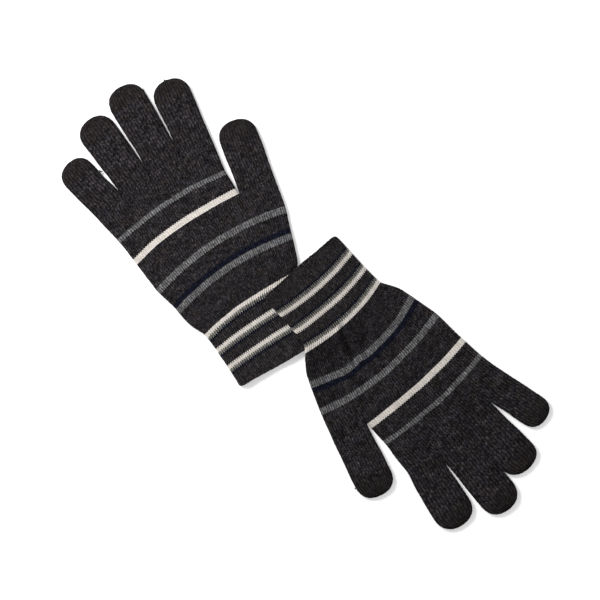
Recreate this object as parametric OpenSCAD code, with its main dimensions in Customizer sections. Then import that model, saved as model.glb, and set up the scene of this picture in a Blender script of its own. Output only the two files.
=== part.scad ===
// Pair of knitted gloves lying flat, the right cuff resting on the left cuff.
// Millimetres. +Z is up, +Y runs along the pair, origin at the middle of the resting plane.
// Every node is a hollow knitted tube: two layers of cloth joined round both edges.

/* [Cloth] */
// Height of a glove lying flat, two layers and the air between them
flat_height = 6; // [5.5:0.5:8]
// Thickness of one knitted layer
knit_wall = 1.6; // [1.2:0.1:2]
// Height of the flattened end of a fingertip
tip_height = 4.6; // [4:0.2:5.4]
// Gap left at every fold line so the parts can turn
fold_gap = 0.3; // [0.2:0.1:0.8]

/* [Cuff] */
// Length of the ribbed cuff
cuff_length = 49; // [40:1:60]
// Distance from one three-colour stripe to the next
cuff_stripe_pitch = 15.5; // [13:0.5:18]
// Width of the cream line of a cuff stripe
cuff_cream_width = 3.1; // [2:0.1:5]
// Width of the grey line of a cuff stripe
cuff_grey_width = 2.3; // [1.5:0.1:4]
// Width of the navy line of a cuff stripe
cuff_navy_width = 1.8; // [1.5:0.1:4]

/* [Hand stripes] */
// Middle height of the lower grey stripe above the wrist
lower_grey_at = 28.9; // [26:0.1:31]
// Width of the lower grey stripe
lower_grey_width = 4.7; // [4:0.1:7]
// Width of the navy stripe that sits on it
navy_width = 3.8; // [3:0.1:6]
// Middle height of the middle grey stripe
middle_grey_at = 49.1; // [45:0.5:54]
// Width of the middle grey stripe
middle_grey_width = 4.7; // [4:0.1:8]
// Middle height of the cream stripe
cream_at = 73.9; // [72:0.5:77]
// Width of the cream stripe
cream_width = 4.5; // [4:0.1:7]
// Middle height of the upper grey stripe
upper_grey_at = 91.8; // [88:0.5:96]
// Width of the upper grey stripe
upper_grey_width = 3.5; // [3:0.1:6]

/* [Fingers] */
// Length of the darker knitted fingertip
tip_length = 14; // [10:0.5:18]
// How square the fingertips are, 2 is round
tip_squareness = 2.3; // [2:0.1:3]

/* [Layout] */
// Extra height of the right cuff over the left glove
cuff_clearance = 0.3; // [0.2:0.1:1]
// Turn of the left glove
left_turn = -4; // [-15:0.5:15]
// Turn of the right glove
right_turn = -175.5; // [-190:0.5:-160]

/* [Colours] */
// Body yarn
charcoal = [0.16, 0.155, 0.165];
// Fingertip yarn
tip_brown = [0.13, 0.115, 0.115];
// Mid grey stripe yarn
grey = [0.36, 0.36, 0.37];
// Cream stripe yarn
cream = [0.86, 0.82, 0.78];
// Navy stripe yarn
navy = [0.08, 0.09, 0.14];

/* [Hidden] */
// Wrist middle of each glove, shifted so the pair is centred on the origin
wrist_at = [[-35.295, 26.173], [11.255, -24.147]];
turn = [left_turn, right_turn];
// Outline of each glove as [height above the wrist, half of the outline there]
little_edge = [
  [[-49, -39.4], [-30, -39.1], [-14, -39.3], [-2, -40.4], [5, -44], [11, -46.3], [26, -48.3],
   [42, -52.3], [68, -54.3], [88, -56], [108.5, -60]],
  [[-49, -34.8], [-30, -35.1], [-10, -35.7], [-1, -36.8], [4, -40.4], [11, -44.4], [20, -46.8],
   [42, -52.2], [68, -54.2], [88, -56.4], [106.6, -61.2]]];
thumb_edge = [
  [[-51, 33.5], [-14, 34], [-4, 35.5], [2, 42.3], [5, 44.4], [12, 47], [22, 50.8], [28, 52.9],
   [41.5, 57.8], [64.2, 63.3]],
  [[-49, 33], [-14, 33], [-2, 34.2], [3, 40], [12, 46.6], [22, 50.9], [28, 53.1],
   [41.5, 58.2], [64, 65.4]]];
index_edge = [[[64, 35.6], [88, 35.8], [113.5, 40.7]], [[64, 38.1], [88, 37.7], [114, 39.6]]];
// Digits as [root middle, root half width, middle of the round tip, tip half width]:
// thumb, index, middle, ring, little
digits = [
  [[[49.6, 67], 13.8, [57.1, 101.5], 14.4], [[28.2, 115.2], 12.5, [33.4, 152.6], 13.9],
   [[2.4, 114.8], 12.8, [4.2, 166], 14.1], [[-23.3, 113.4], 12.1, [-26.1, 159.4], 13.4],
   [[-47.9, 110.8], 12.1, [-53.8, 142], 12.8]],
  [[[52, 67], 13.7, [60.6, 99.6], 14.3], [[26.7, 116], 13.1, [32.4, 153.8], 14.4],
   [[-0.4, 115], 13.1, [0.9, 168.1], 14], [[-26.2, 112.6], 12.2, [-28.6, 156.1], 13.4],
   [[-50, 109.4], 11.5, [-57.6, 139.3], 12.1]]];
// Top of the cuff in the middle of each glove, above the wrist
cuff_top = [2.1, 3.9];
// How far each stripe falls from its middle to the little side and to the thumb side; the
// cuff has three stripes on each glove, from the wrist down
cuff_drop = [[[4.5, 2], [2.2, 1.6], [1.2, 1.6]], [[5.6, 3.1], [3.8, 2.4], [3, 3]]];
lower_drop = [[7.1, 6.2], [9.3, 10.7]];
middle_drop = [[7.4, 7.7], [6.2, 9]];
cream_drop = [[5.4, 2.6], [3.7, 2]];
upper_drop = [[4.5, 4.4], [5, 3.1]];
// How much higher each glove's lower grey, middle grey, cream and upper grey stripes sit
stripe_shift = [[0, 0, 0, 0], [1.7, -0.4, -1.5, -1.9]];
// Shift of the hem at its little side and at its thumb side
hem_skew = [[0.9, -2.9], [0.3, 0]];
low_points = 15;
high_points = 12;
edge_turns = [-90, -45, 0, 45, 90];
rise = flat_height + cuff_clearance;

// ---------- helpers ----------
function unit(v) = v / norm(v);
function between(a, b, f) = a * (1 - f) + b * f;
function ramp(x, a, b) = let(u = min(1, max(0, (x - a) / (b - a)))) u * u * (3 - 2 * u);

// The right cuff climbs over the left cuff and comes down again before the palm.
function lift(s, x, y) = s == 0 ? 0 : rise * ramp(x, -26, 0) * (1 - ramp(y, 1, 26));
function lifted(s, pts) = [for (p = pts) [p[0], p[1], p[2] + lift(s, p[0], p[1])]];

// One line of knitting across the hand, lower at the two edges than in the middle.
function course(xl, xr, yl, ym, yr, n) =
  [for (i = [0:n - 1]) let(f = i / (n - 1), u = 2 * f - 1)
    [xl + f * (xr - xl), ym + ((u < 0 ? yl : yr) - ym) * u * u]];
function low_course(s, y, drop) =
  course(lookup(y - drop[0], little_edge[s]), lookup(y - drop[1], thumb_edge[s]),
         y - drop[0], y, y - drop[1], low_points);
function high_course(s, y, drop) =
  course(lookup(y - drop[0], little_edge[s]), lookup(y - drop[1], index_edge[s]),
         y - drop[0], y, y - drop[1], high_points);

// Closed loop of points round a flattened tube that follows the line b.
function rim(b, z0, t, w) =
  let(n = len(b), h = t / 2 - w, e0 = unit(b[1] - b[0]), e1 = unit(b[n - 2] - b[n - 1]))
  [for (a = edge_turns) [each b[n - 1] + e1 * (w + h * (1 - cos(a))), z0 + t / 2 + h * sin(a)],
   for (i = [n - 2:-1:1]) [each b[i], z0 + t - w],
   for (a = edge_turns) [each b[0] + e0 * (w + h * (1 - cos(a))), z0 + t / 2 - h * sin(a)],
   for (i = [1:n - 2]) [each b[i], z0 + w]];

function band(a, b, n, out) =
  [for (i = [0:n - 1]) let(j = (i + 1) % n)
    each out ? [[a + i, a + j, b + j], [a + i, b + j, b + i]]
             : [[a + i, b + j, a + j], [a + i, b + i, b + j]]];
// Closes a loop with triangles that meet at the middle point c.
function lid(a, c, n, out) =
  [for (i = [0:n - 1]) let(j = (i + 1) % n) out ? [c, a + i, a + j] : [c, a + j, a + i]];
function middle(r) = [for (k = [0:2]) (max([for (p = r) p[k]]) + min([for (p = r) p[k]])) / 2];

// A knitted tube through outer and inner loops, open at the start, open or closed at the end.
module knit_tube(outer, inner, closed = false) {
  n = len(outer[0]);
  m = len(outer);
  k = len(inner);
  q = m * n;
  e = q + k * n;
  polyhedron(
    points = [for (r = outer) each r, for (r = inner) each r,
              each closed ? [middle(outer[m - 1]), middle(inner[k - 1])] : []],
    faces = [
      for (j = [0:m - 2]) each band(j * n, (j + 1) * n, n, true),
      for (j = [0:k - 2]) each band(q + j * n, q + (j + 1) * n, n, false),
      each band(0, q, n, false),
      each closed ? lid((m - 1) * n, e, n, true) : band((m - 1) * n, q + (k - 1) * n, n, true),
      each closed ? lid(q + (k - 1) * n, e + 1, n, false) : []],
    convexity = 8);
}

module place(s) translate([wrist_at[s][0], wrist_at[s][1], 0]) rotate([0, 0, turn[s]])
  children();

// A part of the hand or cuff between knitted courses.
module hand_piece(s, courses) place(s) knit_tube(
  [for (b = courses) lifted(s, rim(b, 0, flat_height, 0))],
  [for (b = courses) lifted(s, rim(b, 0, flat_height, knit_wall))]);

// ---------- courses of the cuff ----------
// The stripe i starts at its cream line; its courses lie the distance d below that line's top.
function cuff_course(s, i, d) =
  low_course(s, cuff_top[s] - i * cuff_stripe_pitch - d, cuff_drop[s][i]);
cream_foot = cuff_cream_width;
grey_foot = cream_foot + cuff_grey_width;
navy_foot = grey_foot + cuff_navy_width;
module cuff_ring(s, i, d0, d1) hand_piece(s, [cuff_course(s, i, d1), cuff_course(s, i, d0)]);

// The hem is not quite square to the left glove.
function hem_course(s) = let(c = low_course(s, -cuff_length, [0, 0]), n = len(c) - 1)
  [for (i = [0:n]) [c[i][0], c[i][1] + between(hem_skew[s][0], hem_skew[s][1], i / n)]];
module cuff_hem(s) hand_piece(s, [hem_course(s), cuff_course(s, 2, navy_foot)]);
module cuff_rib_bands(s) for (i = [0:1])
  hand_piece(s, [cuff_course(s, i + 1, 0), cuff_course(s, i, navy_foot)]);
module cuff_navy_stripes(s) for (i = [0:2]) cuff_ring(s, i, grey_foot, navy_foot);
module cuff_grey_stripes(s) for (i = [0:2]) cuff_ring(s, i, cream_foot, grey_foot);
module cuff_cream_stripes(s) for (i = [0:2]) cuff_ring(s, i, 0, cream_foot);

// ---------- courses of the hand ----------
function lower_at(s) = lower_grey_at + stripe_shift[s][0];
function middle_at(s) = middle_grey_at + stripe_shift[s][1];
function cream_mid(s) = cream_at + stripe_shift[s][2];
function upper_at(s) = upper_grey_at + stripe_shift[s][3];
function lower_grey_foot(s) = low_course(s, lower_at(s) - lower_grey_width / 2, lower_drop[s]);
function lower_grey_top(s) = low_course(s, lower_at(s) + lower_grey_width / 2, lower_drop[s]);
function navy_top(s) =
  low_course(s, lower_at(s) + lower_grey_width / 2 + navy_width, lower_drop[s]);
function middle_grey_foot(s) =
  low_course(s, middle_at(s) - middle_grey_width / 2, middle_drop[s]);
function middle_grey_top(s) =
  low_course(s, middle_at(s) + middle_grey_width / 2, middle_drop[s]);
function cream_low(s) = high_course(s, cream_mid(s) - cream_width / 2, cream_drop[s]);
function cream_top(s) = high_course(s, cream_mid(s) + cream_width / 2, cream_drop[s]);
function upper_grey_foot(s) = high_course(s, upper_at(s) - upper_grey_width / 2, upper_drop[s]);
function upper_grey_top(s) = high_course(s, upper_at(s) + upper_grey_width / 2, upper_drop[s]);

// Fold line across a digit, square to the digit.
function digit_angle(s, d) =
  let(v = digits[s][d][2] - digits[s][d][0]) -atan2(v[0], v[1]);
function fold_line(s, d) =
  let(c = digits[s][d][0], w = digits[s][d][1], a = digit_angle(s, d))
  [for (u = [-w, 0, w]) c + u * [cos(a), sin(a)]];
function thumb_base_top(s) = [each cream_low(s), each fold_line(s, 0)];
function finger_base_top(s) = [for (d = [4:-1:1]) each fold_line(s, d)];

function wrist_course(s, f) =
  let(top = lower_at(s) - lower_grey_width / 2, drop = lower_drop[s])
  low_course(s, between(cuff_top[s], top, f), between(cuff_drop[s][0], drop, ramp(f, 0, 1)));

module wrist_panel(s) hand_piece(s,
  [cuff_course(s, 0, 0), for (f = [0.1, 0.2, 0.32, 0.45, 0.6, 0.75, 0.88]) wrist_course(s, f),
   lower_grey_foot(s)]);
module lower_grey_stripe(s) hand_piece(s, [lower_grey_foot(s), lower_grey_top(s)]);
module navy_stripe(s) hand_piece(s, [lower_grey_top(s), navy_top(s)]);
module palm_panel(s) hand_piece(s, [navy_top(s), middle_grey_foot(s)]);
module middle_grey_stripe(s) hand_piece(s, [middle_grey_foot(s), middle_grey_top(s)]);
module thumb_base_panel(s) hand_piece(s,
  [middle_grey_top(s), between(middle_grey_top(s), thumb_base_top(s), 0.5),
   thumb_base_top(s)]);
module cream_stripe(s) hand_piece(s, [cream_low(s), cream_top(s)]);
module knuckle_panel(s) hand_piece(s, [cream_top(s), upper_grey_foot(s)]);
module upper_grey_stripe(s) hand_piece(s, [upper_grey_foot(s), upper_grey_top(s)]);
module finger_base_panel(s) hand_piece(s,
  [upper_grey_top(s), between(upper_grey_top(s), finger_base_top(s), 0.5),
   finger_base_top(s)]);

// ---------- digits ----------
function reach(s, d) = norm(digits[s][d][2] - digits[s][d][0]);
function tip_start(s, d) = reach(s, d) + digits[s][d][3] - tip_length;
function digit_half(s, d, y) =
  let(w0 = digits[s][d][1], w1 = digits[s][d][3]) w0 + (w1 - w0) * min(1, y / reach(s, d));
function cross_line(y, w) = [[-w, y], [0, y], [w, y]];

module at_digit(s, d) place(s)
  translate([digits[s][d][0][0], digits[s][d][0][1], 0]) rotate([0, 0, digit_angle(s, d)])
    children();

module digit_tube(s, d) {
  y0 = fold_gap / 2;
  y1 = tip_start(s, d) - fold_gap / 2;
  stops = [y0, (y0 + y1) / 2, y1];
  at_digit(s, d) knit_tube(
    [for (y = stops) rim(cross_line(y, digit_half(s, d, y)), 0, flat_height, 0)],
    [for (y = stops) rim(cross_line(y, digit_half(s, d, y)), 0, flat_height, knit_wall)]);
}

// Closed end of a digit: a rounded, slightly squared cap.
module digit_tip(s, d) {
  r = digits[s][d][3];
  y0 = tip_start(s, d) + fold_gap / 2;
  swing = [10, 24, 38, 52, 66, 78];
  p = 2 / tip_squareness;
  ys = [y0, for (a = swing) max(y0 + 0.4, reach(s, d)) + (r - 0.4) * pow(sin(a), p)];
  ws = [digit_half(s, d, y0), for (a = swing) max(2.5, r * pow(cos(a), p))];
  ts = [flat_height, for (a = swing) flat_height + (tip_height - flat_height) * sin(a)];
  m = len(ys) - 2;
  at_digit(s, d) knit_tube(
    [for (i = [0:len(ys) - 1]) rim(cross_line(ys[i], ws[i]), (flat_height - ts[i]) / 2, ts[i], 0)],
    [for (i = [0:m - 1])
      rim(cross_line(ys[i], ws[i]), (flat_height - ts[i]) / 2, ts[i], knit_wall)],
    closed = true);
}

// ---------- nodes ----------
module left_cuff_hem() color(charcoal) cuff_hem(0);
module left_cuff_rib_bands() color(charcoal) cuff_rib_bands(0);
module left_cuff_navy_stripes() color(navy) cuff_navy_stripes(0);
module left_cuff_grey_stripes() color(grey) cuff_grey_stripes(0);
module left_cuff_cream_stripes() color(cream) cuff_cream_stripes(0);
module left_wrist_panel() color(charcoal) wrist_panel(0);
module left_lower_grey_stripe() color(grey) lower_grey_stripe(0);
module left_navy_stripe() color(navy) navy_stripe(0);
module left_palm_panel() color(charcoal) palm_panel(0);
module left_middle_grey_stripe() color(grey) middle_grey_stripe(0);
module left_thumb_base_panel() color(charcoal) thumb_base_panel(0);
module left_cream_stripe() color(cream) cream_stripe(0);
module left_knuckle_panel() color(charcoal) knuckle_panel(0);
module left_upper_grey_stripe() color(grey) upper_grey_stripe(0);
module left_finger_base_panel() color(charcoal) finger_base_panel(0);
module left_thumb() color(charcoal) digit_tube(0, 0);
module left_index_finger() color(charcoal) digit_tube(0, 1);
module left_middle_finger() color(charcoal) digit_tube(0, 2);
module left_ring_finger() color(charcoal) digit_tube(0, 3);
module left_little_finger() color(charcoal) digit_tube(0, 4);
module left_thumb_tip() color(tip_brown) digit_tip(0, 0);
module left_index_tip() color(tip_brown) digit_tip(0, 1);
module left_middle_tip() color(tip_brown) digit_tip(0, 2);
module left_ring_tip() color(tip_brown) digit_tip(0, 3);
module left_little_tip() color(tip_brown) digit_tip(0, 4);
module right_cuff_hem() color(charcoal) cuff_hem(1);
module right_cuff_rib_bands() color(charcoal) cuff_rib_bands(1);
module right_cuff_navy_stripes() color(navy) cuff_navy_stripes(1);
module right_cuff_grey_stripes() color(grey) cuff_grey_stripes(1);
module right_cuff_cream_stripes() color(cream) cuff_cream_stripes(1);
module right_wrist_panel() color(charcoal) wrist_panel(1);
module right_lower_grey_stripe() color(grey) lower_grey_stripe(1);
module right_navy_stripe() color(navy) navy_stripe(1);
module right_palm_panel() color(charcoal) palm_panel(1);
module right_middle_grey_stripe() color(grey) middle_grey_stripe(1);
module right_thumb_base_panel() color(charcoal) thumb_base_panel(1);
module right_cream_stripe() color(cream) cream_stripe(1);
module right_knuckle_panel() color(charcoal) knuckle_panel(1);
module right_upper_grey_stripe() color(grey) upper_grey_stripe(1);
module right_finger_base_panel() color(charcoal) finger_base_panel(1);
module right_thumb() color(charcoal) digit_tube(1, 0);
module right_index_finger() color(charcoal) digit_tube(1, 1);
module right_middle_finger() color(charcoal) digit_tube(1, 2);
module right_ring_finger() color(charcoal) digit_tube(1, 3);
module right_little_finger() color(charcoal) digit_tube(1, 4);
module right_thumb_tip() color(tip_brown) digit_tip(1, 0);
module right_index_tip() color(tip_brown) digit_tip(1, 1);
module right_middle_tip() color(tip_brown) digit_tip(1, 2);
module right_ring_tip() color(tip_brown) digit_tip(1, 3);
module right_little_tip() color(tip_brown) digit_tip(1, 4);

left_cuff_hem();
left_cuff_rib_bands();
left_cuff_navy_stripes();
left_cuff_grey_stripes();
left_cuff_cream_stripes();
left_wrist_panel();
left_lower_grey_stripe();
left_navy_stripe();
left_palm_panel();
left_middle_grey_stripe();
left_thumb_base_panel();
left_cream_stripe();
left_knuckle_panel();
left_upper_grey_stripe();
left_finger_base_panel();
left_thumb();
left_index_finger();
left_middle_finger();
left_ring_finger();
left_little_finger();
left_thumb_tip();
left_index_tip();
left_middle_tip();
left_ring_tip();
left_little_tip();
right_cuff_hem();
right_cuff_rib_bands();
right_cuff_navy_stripes();
right_cuff_grey_stripes();
right_cuff_cream_stripes();
right_wrist_panel();
right_lower_grey_stripe();
right_navy_stripe();
right_palm_panel();
right_middle_grey_stripe();
right_thumb_base_panel();
right_cream_stripe();
right_knuckle_panel();
right_upper_grey_stripe();
right_finger_base_panel();
right_thumb();
right_index_finger();
right_middle_finger();
right_ring_finger();
right_little_finger();
right_thumb_tip();
right_index_tip();
right_middle_tip();
right_ring_tip();
right_little_tip();
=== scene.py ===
"""Looks of a pair of striped knitted gloves lying flat, one cuff resting on the other.

Plans are in millimetres in each glove's own frame: the origin is the middle of the wrist, +y runs
towards the fingers and +x towards the thumb. Pieces are made in metres in the shared frame.
Every piece of cloth is a knitted tube laid out stitch by stitch. Its columns are wales and its
rows are courses, and the UV map "stitch" counts both, so the knitting follows the cloth.
"""
import logging
import math
from dataclasses import dataclass, field
from enum import Enum

import bpy
import numpy as np
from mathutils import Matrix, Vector


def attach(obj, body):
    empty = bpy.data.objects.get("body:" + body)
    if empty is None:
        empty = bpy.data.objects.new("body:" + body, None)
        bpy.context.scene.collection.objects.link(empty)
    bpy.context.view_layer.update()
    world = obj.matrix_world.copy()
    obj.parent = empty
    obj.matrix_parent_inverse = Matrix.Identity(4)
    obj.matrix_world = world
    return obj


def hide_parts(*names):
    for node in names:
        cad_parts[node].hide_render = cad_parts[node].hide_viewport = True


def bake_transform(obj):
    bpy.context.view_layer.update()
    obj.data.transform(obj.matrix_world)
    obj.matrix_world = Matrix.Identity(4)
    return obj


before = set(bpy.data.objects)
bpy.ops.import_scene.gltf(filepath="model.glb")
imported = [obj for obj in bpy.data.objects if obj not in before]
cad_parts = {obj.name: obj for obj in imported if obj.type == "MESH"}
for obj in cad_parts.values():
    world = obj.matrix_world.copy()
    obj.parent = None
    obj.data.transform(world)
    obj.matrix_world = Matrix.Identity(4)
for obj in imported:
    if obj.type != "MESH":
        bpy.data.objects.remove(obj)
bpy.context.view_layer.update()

MM = 0.001
LOG = logging.getLogger("gloves")

CLOTH_HEIGHT = 5.7  # of a hand lying flat, both layers
CUFF_HEIGHT = 5.2  # of a cuff between the ribs
FINGER_HEIGHT = 6.2  # of a finger at its crown
WALL = 1.5  # one knitted layer at the hem
EDGE_ROUND = 3.6  # how far the rounding of a folded edge reaches in
WALE_RELIEF = 0.12
COURSE_RELIEF = 0.06
RIB_RELIEF = 0.36
COURSE = 0.92  # height of one course
CHEVRON = 0.95  # millimetres by which a wale's border climbs over its middle
RIB_TOOTH = 0.9  # millimetres by which the raised ribs run ahead of the sunken ones
SNUG = 0.55  # how far a digit leans against its neighbour near their fork
DENSE = 521  # points on which a course is laid out before it is cut into stitches
ROWS = 2  # rows of points for each course
WALE = 1.45  # width of a wale of plain knitting, for the scale of the yarn's colours
YARN_SHIFT = 40.0  # courses by which the yarn is shifted for each step of a glove's seed
LEAST_HEIGHT = 0.02  # of the cloth's underside above the floor
CUFF_ROUND = 3.0  # how far the rounding of the cuff's folded edge reaches in
HEM_LIP = 12  # rows of the hem that are turned inside
GREY_HALF = 2.35  # half the height of the lower and of the middle grey stripe
NAVY_TOP = 6.15  # upper edge of the navy stripe above the middle of the lower grey one
CREAM_HALF = 2.25  # half the height of the cream stripe
UPPER_HALF = 1.75  # half the height of the upper grey stripe


class Side(Enum):
    """Which glove of the pair."""

    LEFT = "left"
    RIGHT = "right"


class Yarn(Enum):
    """Yarn colours of the gloves."""

    CHARCOAL = "charcoal"
    TIP = "fingertip"
    GREY = "grey"
    CREAM = "cream"
    NAVY = "navy"


class Knit(Enum):
    """Knitting structures: plain knitting, or one-by-one rib."""

    PLAIN = "knit"
    RIB = "rib"


POINTS_ACROSS = {Knit.PLAIN: 2, Knit.RIB: 4}  # points across each wale
Colour = tuple[float, float, float]
Bell = tuple[float, float, float]  # height, middle and reach


def ramp(x: np.ndarray | float, a: float, b: float) -> np.ndarray | float:
    """Smooth step from 0 at a to 1 at b.

    Args:
        x: Where to read the step.
        a: Where it starts.
        b: Where it ends.

    Returns:
        Values from 0 to 1.
    """
    u = np.clip((x - a) / (b - a), 0, 1)
    return u * u * (3 - 2 * u)


def quarter_round(s: np.ndarray, power: float = 2.15) -> np.ndarray:
    """Height of a rounded edge from 0 at s = 0 to 1 at s = 1 and beyond.

    Args:
        s: Distance from the edge over the reach of the rounding.
        power: 2 for an ellipse, more for a squarer edge.

    Returns:
        Heights from 0 to 1.
    """
    t = 1 - np.clip(s, 0, 1)
    return (1 - t**power) ** (1 / power)


def swells(x: np.ndarray, bells: tuple[Bell, ...]) -> np.ndarray:
    """Sum of some bell curves.

    Args:
        x: Where to read them.
        bells: Height, middle and reach of each.

    Returns:
        Their sum at each x.
    """
    return sum(height * np.exp(-((x - middle) / reach) ** 2) for height, middle, reach in bells)


class SoftNoise:
    """Smooth random waves over the plane, always the same for one seed."""

    def __init__(self, seed: int, length: float, count: int = 14) -> None:
        """Draws the waves.

        Args:
            seed: Seed of the random draws.
            length: Typical wave length in millimetres.
            count: Number of waves that are added.
        """
        rng = np.random.default_rng(seed)
        turn = rng.uniform(0, math.tau, count)
        size = math.tau / (length * rng.uniform(0.7, 1.6, count))
        self.kx, self.ky = size * np.cos(turn), size * np.sin(turn)
        self.phase = rng.uniform(0, math.tau, count)

    def __call__(self, x: np.ndarray, y: np.ndarray) -> np.ndarray:
        """Reads the noise.

        Args:
            x: First coordinate.
            y: Second coordinate.

        Returns:
            Values around 0, mostly from -1 to 1.
        """
        total = np.zeros(np.broadcast(x, y).shape)
        for kx, ky, phase in zip(self.kx, self.ky, self.phase):
            total += np.sin(kx * x + ky * y + phase)
        return total / math.sqrt(len(self.phase))


class EdgeLine:
    """One side of a glove's outline, as x for each height above the wrist."""

    def __init__(self, points: list[tuple[float, float]], soften: float = 1.6) -> None:
        """Rounds the corners of the outline.

        Args:
            points: Pairs of height and x.
            soften: How far the corners are rounded, in millimetres.
        """
        ys, xs = np.array(points).T
        self.y = np.arange(ys[0] - 12, ys[-1] + 12, 0.4)
        raw = np.interp(self.y, ys, xs)
        reach = np.arange(-12, 13) * 0.4
        kernel = np.exp(-0.5 * (reach / soften) ** 2)
        padded = np.pad(raw, 12, mode="edge")
        self.x = np.convolve(padded, kernel / kernel.sum(), mode="valid")

    def __call__(self, y: float) -> float:
        """x of the outline at height y."""
        return float(np.interp(y, self.y, self.x))


@dataclass(frozen=True)
class DigitPlan:
    """Where a finger or thumb starts and ends.

    Attributes:
        name: Thumb, index, middle, ring or little.
        root: Middle of its root line.
        root_half: Half of its width there.
        tip: Middle of its round end.
        tip_half: Half of its width there.
        press: How far its little side and its thumb side lean out to the neighbours.
        press_from: Length along the digit at which that starts.
    """

    name: str
    root: tuple[float, float]
    root_half: float
    tip: tuple[float, float]
    tip_half: float
    press: tuple[float, float] = (0.0, 0.0)
    press_from: float = 0.0

    @property
    def along(self) -> np.ndarray:
        """Unit vector from root to tip."""
        v = np.subtract(self.tip, self.root)
        return v / np.hypot(*v)

    @property
    def across(self) -> np.ndarray:
        """Unit vector across the digit, towards the thumb side."""
        a = self.along
        return np.array([a[1], -a[0]])

    @property
    def reach(self) -> float:
        """Length from the root to the middle of the round end."""
        return float(np.hypot(*np.subtract(self.tip, self.root)))

    def point(self, s: float, w: float = 0.0) -> np.ndarray:
        """Plan point at length s along the digit and w across it."""
        return np.asarray(self.root) + self.along * s + self.across * w

    def root_line(self) -> np.ndarray:
        """The two ends of the root line, little side first."""
        return np.array([self.point(0, -self.root_half), self.point(0, self.root_half)])


@dataclass(frozen=True)
class GlovePlan:
    """Outline, stripes and place of one glove.

    Attributes:
        side: Which glove.
        wrist: Place of the wrist in the shared frame.
        turn: Turn of the glove in degrees.
        rise: Height by which its cuff is lifted, where it lies on the other glove.
        little_edge: Outline on the little finger's side.
        thumb_edge: Outline on the thumb's side, up to the thumb.
        index_edge: Outline on the thumb's side, above the thumb.
        hem_skew: Shift of the hem at its little side and at its thumb side.
        cuff_top: Height of the cuff's last course in the middle.
        cuff_drop: Fall of the three cuff stripes to the little side and to the thumb side.
        stripes: Height of the lower grey, middle grey, cream and upper grey stripe in the middle,
            and how far each falls to the little side and to the thumb side.
        digits: Thumb, index, middle, ring and little finger.
        pleat: Depth of the soft fold above the cuff.
        seed: Seed of its waves and of the yarn that it is knitted from.
        tone: Brightness of its yarns beside the usual ones; painted light that stands
        in for the stronger lamp light on the left glove than on the right one.
    """

    side: Side
    wrist: tuple[float, float]
    turn: float
    rise: float
    little_edge: EdgeLine
    thumb_edge: EdgeLine
    index_edge: EdgeLine
    hem_skew: tuple[float, float]
    cuff_top: float
    cuff_drop: tuple[tuple[float, float], ...]
    stripes: tuple[tuple[float, tuple[float, float]], ...]
    digits: tuple[DigitPlan, ...]
    pleat: float
    seed: int
    tone: float

    def to_frame(self, points: np.ndarray) -> np.ndarray:
        """Moves plan points into the shared frame.

        Args:
            points: Array of x, y, z in millimetres, last axis 3.

        Returns:
            The same points in metres in the shared frame.
        """
        a = math.radians(self.turn)
        c, s = math.cos(a), math.sin(a)
        out = np.empty_like(points, dtype=float)
        out[..., 0] = self.wrist[0] + points[..., 0] * c - points[..., 1] * s
        out[..., 1] = self.wrist[1] + points[..., 0] * s + points[..., 1] * c
        out[..., 2] = points[..., 2]
        return out * MM

    def lift(self, x: np.ndarray, y: np.ndarray) -> np.ndarray:
        """Height by which the glove is lifted at plan points, over the other cuff."""
        return self.rise * ramp(x, -26, 0) * (1 - ramp(y, 1, 26))

    def course(self, y: float, drop: tuple[float, float] = (0, 0), above_thumb: bool = False,
               ) -> np.ndarray:
        """One line of knitting across the hand, lower at its edges than in its middle.

        Args:
            y: Height of its middle above the wrist.
            drop: How far it falls to the little side and to the thumb side.
            above_thumb: True where the thumb has already branched off.

        Returns:
            Plan points from the little side to the thumb side.
        """
        right = self.index_edge if above_thumb else self.thumb_edge
        xl, xr = self.little_edge(y - drop[0]), right(y - drop[1])
        f = edge_dense_shares()
        u = 2 * f - 1
        fall = np.where(u < 0, drop[0], drop[1])
        return np.stack([xl + f * (xr - xl), y - fall * u * u], 1)


def edge_dense_shares() -> np.ndarray:
    """Shares from 0 to 1 that crowd together at both ends, where an edge turns over."""
    return (1 - np.cos(np.linspace(0, math.pi, DENSE))) / 2


def resample(points: np.ndarray) -> np.ndarray:
    """Lays a line of plan points out again on the dense shares of its length.

    Args:
        points: Plan points of a line with few corners.

    Returns:
        DENSE points on the same line.
    """
    steps = np.hypot(*np.diff(points, axis=0).T)
    length = np.concatenate([[0], np.cumsum(steps)])
    want = edge_dense_shares() * length[-1]
    return np.stack([np.interp(want, length, points[:, k]) for k in (0, 1)], 1)


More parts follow.
